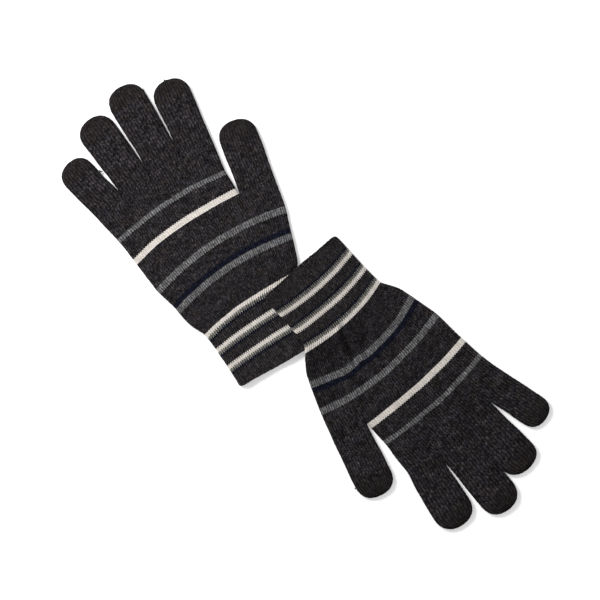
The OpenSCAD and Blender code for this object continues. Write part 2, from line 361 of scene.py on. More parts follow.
LEFT = GlovePlan(
    side=Side.LEFT, wrist=(-35.295, 26.173), turn=-4.0, rise=0.0,
    little_edge=EdgeLine([
        (-49, -39.4), (-30, -39.1), (-14, -39.3), (-2, -40.4), (5, -44), (11, -46.3), (26, -48.3),
        (42, -52.3), (68, -54.3), (88, -56), (108.5, -60)]),
    thumb_edge=EdgeLine([
        (-51, 33.5), (-14, 34), (-4, 35.5), (2, 42.3), (5, 44.4), (12, 47), (22, 50.8),
        (28, 52.9), (41.5, 57.8), (64.2, 63.3)]),
    index_edge=EdgeLine([(64, 35.6), (88, 35.8), (113.5, 40.7)]),
    hem_skew=(0.9, -2.9), cuff_top=2.1, cuff_drop=((4.5, 2), (2.2, 1.6), (1.2, 1.6)),
    stripes=((28.9, (7.1, 6.2)), (49.1, (7.4, 7.7)), (73.9, (5.4, 2.6)), (91.8, (4.5, 4.4))),
    digits=(DigitPlan("thumb", (49.6, 67), 13.8, (57.1, 101.5), 14.4),
            DigitPlan("index", (28.2, 115.2), 12.5, (33.4, 152.6), 13.9),
            DigitPlan("middle", (2.4, 114.8), 12.8, (4.2, 166), 14.1, (0, 0.4)),
            DigitPlan("ring", (-23.3, 113.4), 12.1, (-26.1, 159.4), 13.4, (0, 0.9)),
            DigitPlan("little", (-47.9, 110.8), 12.1, (-53.8, 142), 12.8)),
    # The last value paints this glove lighter, as painted light for the stronger lamp light on it.
    pleat=0.0, seed=11, tone=1.06)

RIGHT = GlovePlan(
    side=Side.RIGHT, wrist=(11.255, -24.147), turn=-175.5, rise=6.3,
    little_edge=EdgeLine([
        (-49, -34.8), (-30, -35.1), (-10, -35.7), (-1, -36.8), (4, -40.4), (11, -44.4),
        (20, -46.8), (42, -52.2), (68, -54.2), (88, -56.4), (106.6, -61.2)]),
    thumb_edge=EdgeLine([
        (-49, 33), (-14, 33), (-2, 34.2), (3, 40), (12, 46.6), (22, 50.9), (28, 53.1),
        (41.5, 58.2), (64, 65.4)]),
    index_edge=EdgeLine([(64, 38.1), (88, 37.7), (114, 39.6)]),
    hem_skew=(0.3, 0.0), cuff_top=3.9, cuff_drop=((5.6, 3.1), (3.8, 2.4), (3, 3)),
    stripes=((30.6, (9.3, 10.7)), (48.7, (6.2, 9)), (72.4, (3.7, 2)), (89.9, (5, 3.1))),
    digits=(DigitPlan("thumb", (52, 67), 13.7, (60.6, 99.6), 14.3),
            DigitPlan("index", (26.7, 116), 13.1, (32.4, 153.8), 14.4, (0, 1.0)),
            DigitPlan("middle", (-0.4, 115), 13.1, (0.9, 168.1), 14, (0, 1.2)),
            DigitPlan("ring", (-26.2, 112.6), 12.2, (-28.6, 156.1), 13.4, (0, 2.5), 8),
            DigitPlan("little", (-50, 109.4), 11.5, (-57.6, 139.3), 12.1)),
    # The last value paints this glove darker, as painted light for the weaker lamp light on it.
    pleat=1.0, seed=23, tone=0.94)


# ---------------------------------------------------------------- knitted cloth
# Waves of the cloth along x, y and z: step of the seed, wave length and size of each.
WAVES = (((2, 22.0, 0.12), (4, 3.0, 0.06)),
         ((3, 24.0, 0.12), (5, 3.0, 0.06)),
         ((0, 26.0, 0.30), (1, 8.0, 0.10)))
# The pleat's two brows and its valley, as bells beside its middle line.
PLEAT: tuple[Bell, ...] = ((1.9, 5.8, 3.0), (1.4, -5.8, 3.4), (-4.1, 0.0, 2.5))
PLEAT_FOOT = (5.0, -0.5)  # where its middle line starts
PLEAT_LEAN = 0.31  # how far that line goes towards the thumb for each millimetre up
# How far the pleat pushes the stripes, as bells across and up the hand.
PUSH_ACROSS: tuple[Bell, ...] = ((1.2, 25.0, 7.0), (-1.1, 11.0, 3.6))
PUSH_UP: tuple[Bell, ...] = ((1.0, 30.0, 9.0),)
# Soft hollows beside the pleat: place, depth and reach across and along the glove.
DIMPLES = ((-31.0, 6.5, 2.4, 3.6, 4.5), (-13.0, 9.0, 1.5, 3.0, 5.5), (21.5, 10.0, 1.8, 2.8, 6.0))


@dataclass
class Course:
    """One row of the cloth before it is cut into stitches.

    Attributes:
        line: Dense plan points of the row.
        height: Height of the flattened tube.
        edge: Reach of the rounding of its folded edges.
        forks: Pairs of a plan point and how deeply the tube is drawn in there, from 0 to 1.
        parts: Wales between one fork and the next, where they are shared out among digits.
        sharing: How fully they are, from 0 to 1.
    """

    line: np.ndarray
    height: float
    edge: float = EDGE_ROUND
    forks: tuple[tuple[np.ndarray, float], ...] = ()
    parts: tuple[int, ...] = ()
    sharing: float = 0.0


class Cloth:
    """A knitted tube laid out as a grid of points, one row after another."""

    def __init__(self, plan: GlovePlan, courses: list[Course], wales: int, knit: Knit,
                 first_course: float) -> None:
        """Cuts the courses into stitches and shapes the surface.

        Args:
            plan: The glove this cloth belongs to.
            courses: Rows of the cloth, from the wrist side on.
            wales: Columns of stitches on one face.
            knit: Plain or rib.
            first_course: Course number of the first row.
        """
        self.plan, self.knit = plan, knit
        self.per_wale = POINTS_ACROSS[knit]
        face = wales * self.per_wale
        self.columns = 2 * face
        self.first_course = first_course
        self.points = np.array([self._cut(c, face) for c in courses])
        self._settle()
        self._stitch()

    def _cut(self, course: Course, face: int) -> np.ndarray:
        """Points round the tube at equal steps of cloth, over the top and back below.

        Args:
            course: The row.
            face: Steps on one face of the tube.

        Returns:
            Points of the row, twice as many as the steps.
        """
        line = course.line
        along = np.concatenate([[0], np.cumsum(np.hypot(*np.diff(line, axis=0).T))])
        inset = np.minimum(along, along[-1] - along)
        swell = quarter_round(inset / course.edge)
        for place, depth in course.forks:
            gap = np.hypot(*(line - place).T)
            swell = swell * (1 - depth * (1 - quarter_round(gap / course.edge)))
        half = course.height / 2 * swell
        span = np.sqrt(np.diff(along) ** 2 + np.diff(half) ** 2)
        cloth = np.concatenate([[0], np.cumsum(span)])
        want = np.linspace(0, cloth[-1], face + 1)
        if course.parts:
            at = [cloth[np.hypot(*(line - place).T).argmin()] for place, _ in course.forks]
            columns = np.concatenate([[0], np.cumsum(course.parts)]) * self.per_wale
            shared = np.interp(np.arange(face + 1), columns, [0, *at, cloth[-1]])
            want += (shared - want) * course.sharing
        x, y, h = (np.interp(want, cloth, v) for v in (line[:, 0], line[:, 1], half))
        top = np.stack([x, y, course.height / 2 + h], 1)
        low = np.stack([x, y, course.height / 2 - h], 1)
        return np.concatenate([top, low[-2:0:-1]])

    def _settle(self) -> None:
        """Lets the cloth lie unevenly: soft waves, the pleat and the lift over the other cuff."""
        p, plan = self.points, self.plan
        x, y = p[..., 0].copy(), p[..., 1].copy()
        top = ramp(p[..., 2], 1.5, 4.5)
        for axis, waves in enumerate(WAVES):
            wave = sum(SoftNoise(plan.seed + step, length)(x, y) * size
                       for step, length, size in waves)
            p[..., axis] += wave * top if axis == 2 else wave
        if plan.pleat:
            off = x - (PLEAT_FOOT[0] + (y - PLEAT_FOOT[1]) * PLEAT_LEAN)
            fade = ramp(y, -1, 7) * (1 - ramp(y, 24, 36))
            p[..., 2] += plan.pleat * fade * top * swells(off, PLEAT)
            for at_x, at_y, depth, across, along in DIMPLES:
                spot = np.exp(-((x - at_x) / across) ** 2 - ((y - at_y) / along) ** 2)
                p[..., 2] -= plan.pleat * depth * spot * top
            p[..., 1] += plan.pleat * swells(x, PUSH_ACROSS) * swells(y, PUSH_UP)
        p[..., 2] = np.maximum(p[..., 2], LEAST_HEIGHT) + plan.lift(x, y)

    def _stitch(self) -> None:
        """Raises the wales and courses, and tilts the stitches into their V shape."""
        p = self.points
        rows = np.arange(len(p))
        u = np.arange(self.columns) / self.per_wale
        around = np.roll(p, -1, 1) - np.roll(p, 1, 1)
        along = np.gradient(p, axis=0)
        self.normals = np.cross(around, along)
        self.normals /= np.linalg.norm(self.normals, axis=2, keepdims=True) + 1e-9
        border = np.abs((u % 1) - 0.5) * 2  # 1 between two wales, 0 in the middle of one
        fade = np.minimum(np.minimum(rows, rows[::-1]) / 3, 1)[:, None]
        ribs = np.cos(math.pi * (u - 0.5))[None, :]
        climb = (border - 0.5)[None, :] * CHEVRON
        if self.knit is Knit.RIB:
            climb = 0.5 * climb - RIB_TOOTH / 2 * np.clip(1.6 * ribs, -1, 1)
        forward = along / (np.linalg.norm(along, axis=2, keepdims=True) + 1e-9)
        p += forward * (climb * fade)[..., None]
        if self.knit is Knit.RIB:
            relief = RIB_RELIEF * ribs * np.ones_like(fade)
        else:
            tooth = np.cos(math.tau * rows / ROWS)[:, None]
            relief = WALE_RELIEF * np.cos(math.tau * (u - 0.5))[None, :] + COURSE_RELIEF * tooth
        p += self.normals * relief[..., None]
        p[..., 2] = np.maximum(p[..., 2], LEAST_HEIGHT)

    def mesh(self, name: str, spans: list[tuple[int, int]], cap: bool = False,
             lip: int = 0) -> bpy.types.Object:
        """Makes one piece from some of the rows.

        Args:
            name: Name of the piece.
            spans: First and last row of each ring of the piece.
            cap: True to close the last row into a point.
            lip: Rows by which the first row is turned inside, for a hem.

        Returns:
            The new object, in the shared frame.
        """
        verts, faces, uvs = [], [], []
        count = 0
        for a, b in spans:
            grid = self.points[a:b + 1]
            course = self.first_course + np.arange(a, b + 1) / ROWS
            if lip:
                grid, course = self._turn_in(a, b, lip, grid, course)
            n, m = len(grid), self.columns
            verts.append(grid.reshape(-1, 3))
            i, j = np.meshgrid(np.arange(n - 1), np.arange(m), indexing="ij")
            i, j = i.ravel(), j.ravel()
            k = (j + 1) % m
            faces.append(count + np.stack([i * m + j, i * m + k, (i + 1) * m + k,
                                           (i + 1) * m + j], 1))
            u0, u1 = j / self.per_wale, (j + 1) / self.per_wale
            v0, v1 = course[i], course[i + 1]
            uvs.append(corner_pairs((u0, v0), (u1, v0), (u1, v1), (u0, v1)))
            count += n * m
        quads = np.concatenate(faces)
        corner_uv = np.concatenate(uvs).reshape(-1, 2)
        points = np.concatenate(verts)
        tris = np.empty((0, 3), int)
        if cap:
            m = self.columns
            points = np.concatenate([points, points[-m:].mean(0, keepdims=True)])
            j = np.arange(m)
            tris = np.stack([count - m + j, count - m + (j + 1) % m, np.full(m, count)], 1)
            v = np.full(m, self.first_course + spans[-1][1] / ROWS)
            tri_uv = corner_pairs((j / self.per_wale, v), ((j + 1) / self.per_wale, v),
                                  ((j + 0.5) / self.per_wale, v + 0.5))
            corner_uv = np.concatenate([corner_uv, tri_uv.reshape(-1, 2)])
        return build_object(name, self.plan.to_frame(points), quads, tris, corner_uv)

    def _turn_in(self, a: int, b: int, lip: int, grid: np.ndarray, course: np.ndarray,
                 ) -> tuple[np.ndarray, np.ndarray]:
        """Adds the rolled edge and the inside of a hem before the first row.

        Args:
            a: First row.
            b: Last row.
            lip: Rows by which the first row is turned inside.
            grid: Points of the rows.
            course: Course number of each row.

        Returns:
            The points and the course numbers with the new rows before them.
        """
        start, out = self.points[a], self.normals[a]
        away = self.points[a] - self.points[a + 1]
        away /= np.linalg.norm(away, axis=1, keepdims=True)
        round_half = WALL / 2
        edge = []
        for turn in np.radians([150, 120, 90, 60, 30]):
            edge.append(start - out * round_half * (1 - math.cos(turn))
                        + away * round_half * math.sin(turn))
        inside = [self.points[a + k] - self.normals[a + k] * WALL for k in range(lip, -1, -1)]
        added = np.array(inside + edge)
        steps = np.concatenate([-(np.arange(len(inside), 0, -1) + 3.0),
                                -np.linspace(2.5, 0.5, len(edge))])
        return np.concatenate([added, grid]), np.concatenate([course[0] + steps, course])


def corner_pairs(*pairs: tuple[np.ndarray, np.ndarray]) -> np.ndarray:
    """Stitch coordinates of many faces, from the wale and course of each of their corners."""
    return np.stack([np.stack(pair, 1) for pair in pairs], 1)


def build_object(name: str, points: np.ndarray, quads: np.ndarray, tris: np.ndarray,
                 corner_uv: np.ndarray) -> bpy.types.Object:
    """Makes a smooth mesh object with its stitch coordinates.

    Args:
        name: Name of the piece.
        points: Vertices in metres.
        quads: Four-cornered faces.
        tris: Three-cornered faces, which come after the others.
        corner_uv: Wale and course of every face corner, in face order.

    Returns:
        The object, linked to the scene.
    """
    mesh = bpy.data.meshes.new(name)
    mesh.vertices.add(len(points))
    mesh.vertices.foreach_set("co", points.astype(np.float32).ravel())
    loops = np.concatenate([quads.ravel(), tris.ravel()]).astype(np.int32)
    mesh.loops.add(len(loops))
    mesh.loops.foreach_set("vertex_index", loops)
    starts = np.concatenate([np.arange(len(quads)) * 4, len(quads) * 4 + np.arange(len(tris)) * 3])
    mesh.polygons.add(len(starts))
    mesh.polygons.foreach_set("loop_start", starts.astype(np.int32))
    mesh.update(calc_edges=True)
    layer = mesh.uv_layers.new(name="stitch")
    layer.data.foreach_set("uv", corner_uv.astype(np.float32).ravel())
    mesh.polygons.foreach_set("use_smooth", np.ones(len(starts), bool))
    mesh.validate()
    obj = bpy.data.objects.new(name, mesh)
    bpy.context.scene.collection.objects.link(obj)
    return obj


# ---------------------------------------------------------------- shader node helpers
Socket = bpy.types.NodeSocket


class Sketch:
    """Adds nodes to a node tree in few words."""

    def __init__(self, tree: bpy.types.NodeTree) -> None:
        """Keeps the tree."""
        self.tree = tree

    def node(self, kind: str, inputs: dict[str | int, object] | None = None,
             **settings: object) -> bpy.types.Node:
        """Adds a node.

        Args:
            kind: Blender's name of the node type.
            inputs: Values or sockets for its inputs, by name or number.
            settings: Attributes of the node.

        Returns:
            The node.
        """
        made = self.tree.nodes.new(kind)
        for key, value in settings.items():
            setattr(made, key, value)
        for key, value in (inputs or {}).items():
            self.feed(made.inputs[key], value)
        return made

    def feed(self, socket: Socket, value: object) -> None:
        """Links a socket into another, or sets its plain value.

        Args:
            socket: The input that is fed.
            value: Another node's output, or a plain value.
        """
        if isinstance(value, bpy.types.NodeSocket):
            self.tree.links.new(value, socket)
        else:
            socket.default_value = value

    def math(self, operation: str, *values: object, clamp: bool = False) -> Socket:
        """Adds a Math node.

        Args:
            operation: Blender's name of the operation.
            values: Its inputs, as values or sockets.
            clamp: True to keep the result between 0 and 1.

        Returns:
            The result.
        """
        made = self.node("ShaderNodeMath", operation=operation, use_clamp=clamp)
        for slot, value in zip(made.inputs, values):
            self.feed(slot, value)
        return made.outputs[0]

    def blend(self, share: object, first: object, second: object) -> Socket:
        """Mixes two colours.

        Args:
            share: How much of the second one.
            first: The first colour.
            second: The second colour.

        Returns:
            The mixed colour.
        """
        made = self.node("ShaderNodeMix", data_type="RGBA", clamp_factor=True)
        for number, value in ((0, share), (6, first), (7, second)):
            self.feed(made.inputs[number], value)
        return made.outputs[2]

    def shade(self, colour: object, amount: object) -> Socket:
        """A colour multiplied by a grey amount."""
        return self.node("ShaderNodeVectorMath", {0: colour, "Scale": amount},
                         operation="SCALE").outputs[0]

    def spread(self, value: object, low: float, high: float, out_low: float = 0.0,
               out_high: float = 1.0) -> Socket:
        """Spreads a range of values over another range, and clamps the result to it.

        Args:
            value: The value or socket.
            low: Value that gives out_low.
            high: Value that gives out_high.
            out_low: One end of the result.
            out_high: Its other end.

        Returns:
            The result.
        """
        return self.node("ShaderNodeMapRange", {"Value": value, "From Min": low, "From Max": high,
                                                "To Min": out_low, "To Max": out_high},
                         clamp=True).outputs[0]


def new_group(name: str, ins: dict[str, str], outs: dict[str, str],
              ) -> tuple[bpy.types.NodeTree, Sketch, bpy.types.Node, bpy.types.Node]:
    """Starts a shader node group.

    Args:
        name: Name of the group.
        ins: Socket kind for each input name.
        outs: Socket kind for each output name.

    Returns:
        The group, a sketch of it, its input node and its output node.
    """
    tree = bpy.data.node_groups.new(name, "ShaderNodeTree")
    for way, sockets in (("INPUT", ins), ("OUTPUT", outs)):
        for label, kind in sockets.items():
            tree.interface.new_socket(name=label, in_out=way, socket_type=f"NodeSocket{kind}")
    sketch = Sketch(tree)
    return tree, sketch, sketch.node("NodeGroupInput"), sketch.node("NodeGroupOutput")


class KnitEffects:
    """The shader node groups shared by all yarns: stitch relief and heathered colour."""

    def __init__(self) -> None:
        """Builds the groups once."""
        self.stitch = self._stitch_group()
        self.heather = self._heather_group()

    def _stitch_group(self) -> bpy.types.NodeTree:
        """Height and number of each stitch, from the count of wales and courses.

        Returns:
            The group.
        """
        tree, k, ins, outs = new_group(
            "knit stitches", {"Stitch": "Vector", "Rib": "Float", "Slant": "Float"},
            {"Height": "Float", "Number": "Vector", "Random": "Float"})
        uv = k.node("ShaderNodeSeparateXYZ", {0: ins.outputs["Stitch"]})
        wobble = k.node("ShaderNodeTexNoise", {"Vector": ins.outputs["Stitch"], "Scale": 0.9,
                                               "Detail": 1.0})
        shift = k.math("MULTIPLY", k.math("SUBTRACT", wobble.outputs[0], 0.5), 0.14)
        u = k.math("ADD", uv.outputs[0], shift)
        v = k.math("ADD", uv.outputs[1], shift)
        border = k.math("MULTIPLY", k.math("ABSOLUTE", k.math(
            "SUBTRACT", k.math("FRACT", u), 0.5)), 2.0)
        phase = k.math("SUBTRACT", v, k.math("MULTIPLY", border, ins.outputs["Slant"]))
        across = k.math("MULTIPLY", k.math("SUBTRACT", 1.0, border), 0.62 * math.pi)
        leg = k.math("POWER", k.math("SINE", across), 0.9)
        rise = k.math("MULTIPLY_ADD", k.math("COSINE", k.math("MULTIPLY", phase, math.tau)),
                      0.25, 0.75)
        plain = k.math("MULTIPLY", leg, rise)
        raised = k.math("MULTIPLY_ADD", k.math("SINE", k.math("MULTIPLY", u, math.pi)), 0.5, 0.5)
        ribbed = k.math("MULTIPLY", plain, k.math("MULTIPLY_ADD", raised, 0.8, 0.2))
        mixed = k.node("ShaderNodeMix", {0: ins.outputs["Rib"], 2: plain, 3: ribbed},
                       data_type="FLOAT")
        fibre = k.node("ShaderNodeTexNoise", {
            "Vector": k.node("ShaderNodeCombineXYZ", {0: k.math("MULTIPLY", u, 9.0), 1: k.math(
                "MULTIPLY", phase, 3.0)}).outputs[0], "Scale": 1.0, "Detail": 2.0})
        height = k.math("ADD", mixed.outputs[0], k.math(
            "MULTIPLY", k.math("SUBTRACT", fibre.outputs[0], 0.5), 0.35))
        number = k.node("ShaderNodeCombineXYZ", {
            0: k.math("FLOOR", k.math("MULTIPLY", u, 2.0)), 1: k.math("FLOOR", phase)})
        random = k.node("ShaderNodeTexWhiteNoise", {"Vector": number.outputs[0]},
                        noise_dimensions="3D")
        for label, socket in (("Height", height), ("Number", number.outputs[0]),
                              ("Random", random.outputs["Value"])):
            k.feed(outs.inputs[label], socket)
        return tree

    def _heather_group(self) -> bpy.types.NodeTree:
        """Colour of a yarn spun from fibres of several colours, with painted shade where the
        stitches lie low and the glove's painted light gain.

        Returns:
            The group.
        """
        tree, k, ins, outs = new_group(
            "heathered yarn",
            {"Stitch": "Vector", "Height": "Float", "Random": "Float", "Body": "Color",
             "Warm": "Color", "Cool": "Color", "Blotch": "Float", "Speckle": "Float",
             "Tint": "Float", "Painted Gap Shade": "Float", "Painted Light Gain": "Float"},
            {"Color": "Color", "Fluff": "Float"})
        g = ins.outputs
        cloth = k.node("ShaderNodeVectorMath", {0: g["Stitch"], 1: (WALE, COURSE, 1.0)},
                       operation="MULTIPLY").outputs[0]

        def clouds(scale: float, detail: float, offset: float,
                   stretch: tuple[float, float, float] = (1.0, 1.0, 1.0)) -> Socket:
            """Noise over the cloth, centred on 0.

            Args:
                scale: Waves to the millimetre.
                detail: How many finer waves are added.
                offset: Shift that tells this noise from the others.
                stretch: How much denser it is across and along the cloth.

            Returns:
                The noise.
            """
            at = k.node("ShaderNodeVectorMath", {0: cloth, 1: stretch, 2: (offset,) * 3},
                        operation="MULTIPLY_ADD").outputs[0]
            made = k.node("ShaderNodeTexNoise", {"Vector": at, "Scale": scale, "Detail": detail,
                                                 "Roughness": 0.6}).outputs[0]
            return k.math("SUBTRACT", made, 0.5)

        patch = clouds(0.13, 2.0, 0.0)
        mottle = clouds(0.42, 1.5, 9.0, (0.7, 1.2, 1.0))
        grain = clouds(1.9, 2.0, 21.0)
        streak = clouds(1.3, 1.0, 33.0, (0.3, 1.5, 1.0))
        level = k.math("MULTIPLY", k.math("ADD", patch, k.math("MULTIPLY", mottle, 1.15)),
                       g["Blotch"])
        flecks = k.math("ADD", k.math("MULTIPLY", k.math("SUBTRACT", g["Random"], 0.5), 0.8),
                        k.math("MULTIPLY", grain, 1.5))
        flecks = k.math("ADD", flecks, k.math("MULTIPLY", streak, 1.1))
        level = k.math("ADD", level, k.math("MULTIPLY", flecks, g["Speckle"]))
        warm = k.math("MULTIPLY", k.spread(clouds(0.2, 2.0, 57.0), 0.0, 0.16), g["Tint"])
        cool = k.math("MULTIPLY", k.spread(clouds(0.23, 2.0, 83.0), 0.0, 0.16), g["Tint"])
        tinted = k.blend(cool, k.blend(warm, g["Body"], g["Warm"]), g["Cool"])
        # Painted shade: darkens the colour where the stitches lie low, in the gaps between them and
        # in sunken ribs.
        painted_gap_shade = k.math("SUBTRACT", 1.0, k.math("MULTIPLY", g["Painted Gap Shade"], k.spread(
            g["Height"], 0.62, 0.12)))
        # Painted light: the glove's gain brightens or darkens the whole yarn, standing in for how
        # strongly the lamp lights it.
        shade = k.math("MULTIPLY", k.math("MULTIPLY", painted_gap_shade, g["Painted Light Gain"]), k.math(
            "POWER", 2.0, level))
        k.feed(outs.inputs["Color"], k.shade(tinted, shade))
        k.feed(outs.inputs["Fluff"], k.spread(grain, -0.15, 0.2, 0.82, 1.0))
        return tree


@dataclass(frozen=True)
class YarnFinish:
    """Look of one yarn in one kind of knitting.

    Attributes:
        yarn: Which yarn.
        knit: Plain or rib.
        body: Its main colour.
        warm: Colour of its brown patches.
        cool: Colour of its violet patches.
        blotch: Strength of the patches, in doublings of brightness.
        speckle: Strength of the flecks from stitch to stitch, in doublings.
        tint: Strength of the warm and cool patches.
        painted_gap_shade: How dark the painted shade is where the stitches lie low, in the gaps
        between them.
        relief: Depth of the stitches in metres.
        sheen: Strength of the fibres' sheen.
        gloss: Specular level.
    """

    yarn: Yarn
    knit: Knit
    body: Colour
    warm: Colour
    cool: Colour
    blotch: float = 1.0
    speckle: float = 1.0
    tint: float = 0.6
    painted_gap_shade: float = 0.7
    relief: float = 0.0005
    sheen: float = 0.01
    gloss: float = 0.03

    @property
    def slot(self) -> str:
        """Name of the material slot in the record."""
        return f"{self.yarn.value}_{self.knit.value}"

    def material(self, effects: KnitEffects, name: str, tone: float) -> bpy.types.Material:
        """Makes the material.

        Args:
            effects: The shared shader node groups.
            name: Start of the material's name.
            tone: Brightness of the glove's yarns, painted light for how strongly the
            lamp lights this glove.

        Returns:
            The new material.
        """
        made = bpy.data.materials.new(f"{name} {self.yarn.value} {self.knit.value}")
        made.use_nodes = True
        made.node_tree.nodes.clear()
        k = Sketch(made.node_tree)
        uv = k.node("ShaderNodeUVMap", uv_map="stitch").outputs[0]
        stitch = k.node("ShaderNodeGroup", node_tree=effects.stitch)
        for label, value in (("Stitch", uv), ("Rib", float(self.knit is Knit.RIB)),
                             ("Slant", 0.4)):
            k.feed(stitch.inputs[label], value)
        heather = k.node("ShaderNodeGroup", node_tree=effects.heather)
        colours = {"Body": self.body, "Warm": self.warm, "Cool": self.cool}
        for label, value in (("Stitch", uv), ("Height", stitch.outputs["Height"]),
                             ("Random", stitch.outputs["Random"]), ("Blotch", self.blotch),
                             ("Speckle", self.speckle), ("Tint", self.tint),
                             ("Painted Gap Shade", self.painted_gap_shade), ("Painted Light Gain", tone),
                             *((n, (*c, 1.0)) for n, c in colours.items())):
            k.feed(heather.inputs[label], value)
        bump = k.node("ShaderNodeBump", {"Height": stitch.outputs["Height"], "Strength": 0.9,
                                         "Distance": self.relief})
        cloth = k.node("ShaderNodeBsdfPrincipled", {
            "Base Color": heather.outputs["Color"], "Roughness": heather.outputs["Fluff"],
            "Normal": bump.outputs[0], "Specular IOR Level": self.gloss, "Sheen Weight": self.sheen,
            "Sheen Roughness": 0.5})
        k.node("ShaderNodeOutputMaterial", {"Surface": cloth.outputs[0]})
        return made


# Each finish sets how dark its painted shade in the gaps between stitches is.
FINISHES = {(finish.yarn, finish.knit): finish for finish in (
    YarnFinish(Yarn.CHARCOAL, Knit.PLAIN, (0.0246, 0.0220, 0.0240), (0.0276, 0.0215, 0.0196),
               (0.0240, 0.0224, 0.0298), blotch=2.2, speckle=3.2, tint=0.6, painted_gap_shade=0.8),
    YarnFinish(Yarn.GREY, Knit.PLAIN, (0.158, 0.157, 0.161), (0.164, 0.157, 0.142),
               (0.148, 0.152, 0.172), blotch=1.0, speckle=2.2, tint=0.4, painted_gap_shade=0.97),
    YarnFinish(Yarn.CREAM, Knit.PLAIN, (0.80, 0.745, 0.685), (0.82, 0.75, 0.66),
               (0.80, 0.78, 0.75), blotch=0.25, speckle=0.5, tint=0.3, painted_gap_shade=0.4, sheen=0.05,
               gloss=0.15),
    YarnFinish(Yarn.NAVY, Knit.PLAIN, (0.0078, 0.0090, 0.0180), (0.0086, 0.0090, 0.0150),
               (0.0072, 0.0088, 0.0220), blotch=1.2, speckle=2.4, tint=0.4, painted_gap_shade=0.7),
    YarnFinish(Yarn.CHARCOAL, Knit.RIB, (0.0395, 0.0352, 0.0372), (0.0430, 0.0345, 0.0305),
               (0.0385, 0.0355, 0.0450), blotch=2.2, speckle=3.2, tint=0.6, painted_gap_shade=0.66),
    YarnFinish(Yarn.GREY, Knit.RIB, (0.225, 0.218, 0.196), (0.255, 0.232, 0.19),
               (0.22, 0.225, 0.242), blotch=1.0, speckle=2.2, tint=0.4, painted_gap_shade=0.6),
    YarnFinish(Yarn.CREAM, Knit.RIB, (0.86, 0.81, 0.75), (0.82, 0.75, 0.66),
               (0.80, 0.78, 0.75), blotch=0.25, speckle=0.5, tint=0.3, painted_gap_shade=0.3, sheen=0.05,
               gloss=0.15),
    YarnFinish(Yarn.NAVY, Knit.RIB, (0.0110, 0.0135, 0.0290), (0.0120, 0.0130, 0.0230),
               (0.0100, 0.0130, 0.0340), blotch=1.2, speckle=2.4, tint=0.4, painted_gap_shade=0.7),
    YarnFinish(Yarn.TIP, Knit.PLAIN, (0.0225, 0.0192, 0.0194), (0.0245, 0.0188, 0.0175),
               (0.0210, 0.0192, 0.0217), blotch=1.1, speckle=1.8, tint=0.5, painted_gap_shade=0.7))}


# ---------------------------------------------------------------- the gloves
@dataclass
class Wardrobe:
    """Hands out one glove's materials and dresses its pieces.

    Attributes:
        plan: The glove.
        effects: The shared shader node groups.
        materials: The material of every yarn in the knitting it is used in.
    """

    plan: GlovePlan
    effects: KnitEffects
    materials: dict[tuple[Yarn, Knit], bpy.types.Material] = field(init=False)

    def __post_init__(self) -> None:
        """Makes all the materials."""
        # Each glove gets its own copies of the materials, painted lighter or darker by its painted
        # light gain.
        side, tone = self.plan.side.value, self.plan.tone
        self.materials = {key: finish.material(self.effects, side, tone)
                          for key, finish in FINISHES.items()}

    def dress(self, piece: bpy.types.Object, yarn: Yarn, knit: Knit) -> None:
        """Gives a piece its material."""
        piece.data.materials.append(self.materials[yarn, knit])


def rows_for(height: float) -> int:
    """Rows of points in a band of knitting, which has at least one whole course."""
    return ROWS * max(1, round(height / COURSE))


